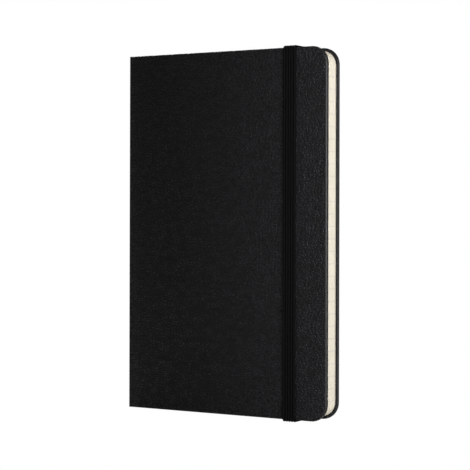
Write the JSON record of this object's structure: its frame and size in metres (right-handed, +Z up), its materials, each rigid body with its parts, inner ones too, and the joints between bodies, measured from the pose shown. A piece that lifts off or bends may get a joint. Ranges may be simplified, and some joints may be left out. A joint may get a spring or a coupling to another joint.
{
  "type": "pocket notebook",
  "caption": "Upright pocket notebook with black hard covers, rounded fore-edge corners, cream pages, back pocket and an elastic closure band.",
  "frame": {"origin": "middle of the underside on the ground, as the notebook stands on its tail with the band's lower wrap the lowest point", "axes": "+Z up along the height, +X from the spine to the fore edge, front cover faces -Y, back cover +Y"},
  "size_m": [0.115, 0.0154, 0.1819],
  "materials": {
    "leatherette": "matt black embossed leatherette",
    "grey_board": "grey binder's board",
    "cream_paper": "uncoated cream paper",
    "pocket_card": "uncoated cream card",
    "elastic": "ribbed black woven elastic",
    "binding_cloth": "fine cotton cloth",
    "sewing_thread": "linen thread",
    "satin_ribbon": "black satin ribbon"
  },
  "bodies": {
    "block": {"spine_skin": "leatherette", "spine_stiffener": "grey_board", "spine_lining": "binding_cloth", "head_band": "binding_cloth", "tail_band": "binding_cloth", "ribbon_marker": "satin_ribbon", "sewing_thread_1": "sewing_thread", "sewing_thread_2": "sewing_thread", "sewing_thread_3": "sewing_thread", "sewing_thread_4": "sewing_thread", "signature_01_fold": "cream_paper", "signature_02_fold": "cream_paper", "signature_03_fold": "cream_paper", "signature_04_fold": "cream_paper", "signature_05": "cream_paper", "signature_06": "cream_paper", "signature_07": "cream_paper", "signature_08": "cream_paper", "signature_09": "cream_paper", "signature_10": "cream_paper", "signature_11": "cream_paper", "signature_12": "cream_paper"},
    "front_leaf": {"front_flyleaf": "cream_paper"},
    "section_1": {"signature_01": "cream_paper"},
    "section_2": {"signature_02": "cream_paper"},
    "section_3": {"signature_03": "cream_paper"},
    "section_4": {"signature_04": "cream_paper"},
    "back_leaf": {"back_flyleaf": "cream_paper"},
    "front_cover": {"front_board": "grey_board", "front_skin": "leatherette", "front_pastedown": "cream_paper"},
    "back_cover": {"back_board": "grey_board", "back_skin": "leatherette", "back_pastedown": "cream_paper", "band_anchor_head": "elastic", "band_anchor_tail": "elastic", "pocket_gusset_head": "binding_cloth", "pocket_gusset_tail": "binding_cloth"},
    "pocket": {"pocket_panel": "pocket_card"},
    "band": {"band_strap": "elastic", "band_head_wrap": "elastic", "band_tail_wrap": "elastic"}
  },
  "joints": [
    {"name": "front_cover_hinge", "type": "hinge", "parent": "block", "child": "front_cover", "pos_m": [-0.05643, -0.00699, 0.00095], "axis": [0, 0, -1], "range_deg": [0, 180]},
    {"name": "front_flyleaf_turn", "type": "hinge", "parent": "block", "child": "front_leaf", "pos_m": [-0.05, -0.00462, 0.00095], "axis": [0, 0, -1], "range_deg": [0, 136.8]},
    {"name": "section_1_turn", "type": "hinge", "parent": "block", "child": "section_1", "pos_m": [-0.05, -0.00462, 0.00095], "axis": [0, 0, -1], "range_deg": [0, 122.4]},
    {"name": "section_2_turn", "type": "hinge", "parent": "block", "child": "section_2", "pos_m": [-0.05, -0.00462, 0.00095], "axis": [0, 0, -1], "range_deg": [0, 108]},
    {"name": "section_3_turn", "type": "hinge", "parent": "block", "child": "section_3", "pos_m": [-0.05, -0.00462, 0.00095], "axis": [0, 0, -1], "range_deg": [0, 93.6]},
    {"name": "section_4_turn", "type": "hinge", "parent": "block", "child": "section_4", "pos_m": [-0.05, -0.00462, 0.00095], "axis": [0, 0, -1], "range_deg": [0, 79.2]},
    {"name": "back_cover_hinge", "type": "hinge", "parent": "block", "child": "back_cover", "pos_m": [-0.05643, 0.00699, 0.00095], "axis": [0, 0, 1], "range_deg": [0, 180]},
    {"name": "back_flyleaf_turn", "type": "hinge", "parent": "block", "child": "back_leaf", "pos_m": [-0.05, 0.00417, 0.00095], "axis": [0, 0, 1], "range_deg": [0, 126]},
    {"name": "pocket_opening", "type": "hinge", "parent": "back_cover", "child": "pocket", "pos_m": [0.0523, 0.00409, 0.00095], "axis": [0, 0, 1], "range_deg": [0, 8.1], "deforming": ["pocket_gusset_head", "pocket_gusset_tail"]},
    {"name": "band_release", "type": "hinge", "parent": "back_cover", "child": "band", "pos_m": [0.0373, 0.00052, 0.00095], "axis": [0, 0, 1], "range_deg": [0, 180], "deforming": ["band_strap", "band_head_wrap", "band_tail_wrap"]}
  ],
  "couplings": [
    {"joint": "front_flyleaf_turn", "follows": "front_cover_hinge", "ratio": 0.76},
    {"joint": "section_1_turn", "follows": "front_cover_hinge", "ratio": 0.68},
    {"joint": "section_2_turn", "follows": "front_cover_hinge", "ratio": 0.6},
    {"joint": "section_3_turn", "follows": "front_cover_hinge", "ratio": 0.52},
    {"joint": "section_4_turn", "follows": "front_cover_hinge", "ratio": 0.44},
    {"joint": "back_flyleaf_turn", "follows": "back_cover_hinge", "ratio": 0.7},
    {"joint": "pocket_opening", "follows": "back_cover_hinge", "ratio": 0.045}
  ]
}
